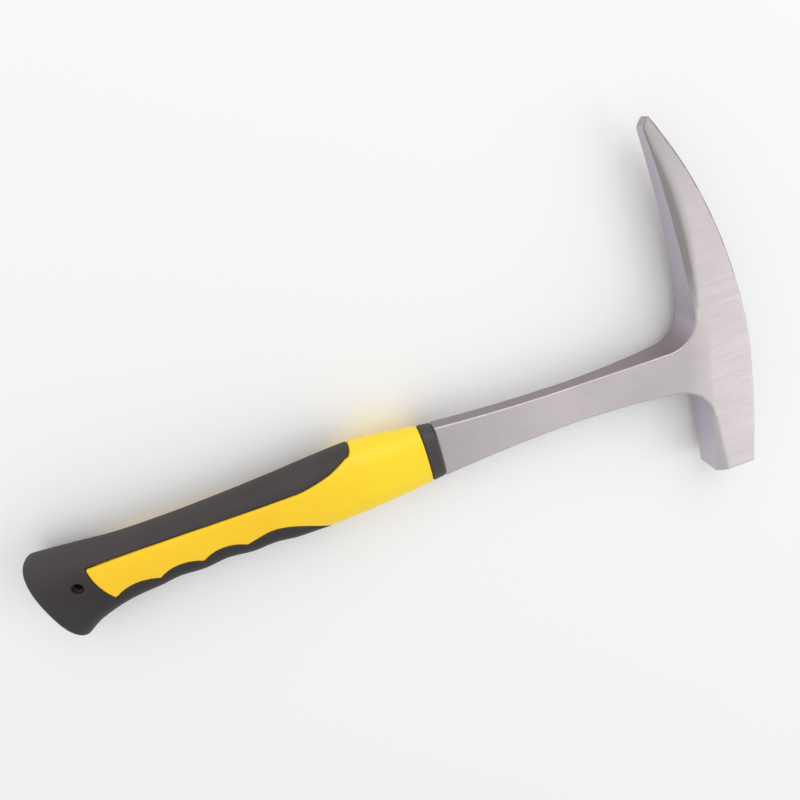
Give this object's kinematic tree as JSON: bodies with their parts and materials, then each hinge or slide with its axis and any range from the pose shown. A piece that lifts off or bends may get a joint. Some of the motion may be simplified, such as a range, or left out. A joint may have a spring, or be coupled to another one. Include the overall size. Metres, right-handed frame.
{
  "type": "rock hammer",
  "caption": "One-piece forged steel rock hammer with a square striking face, a curved pick and a two-tone moulded grip with a lanyard hole.",
  "frame": {"origin": "centre of the striking face", "axes": "+X along the handle towards the head, +Y from the striking face towards the pick tip (the striking face looks along -Y), +Z square to the hammer's flat sides, up as it lies on its side"},
  "size_m": [0.3262, 0.1691, 0.026],
  "materials": {
    "forged_steel": "satin ground",
    "hard_black_plastic": "matte",
    "yellow_plastic": "satin",
    "black_rubber": "soft matte"
  },
  "bodies": {
    "root": {"steel_forging": "forged_steel", "grip_core": "hard_black_plastic", "yellow_grip_shell": "yellow_plastic", "black_overmould": "black_rubber"}
  },
  "joints": []
}
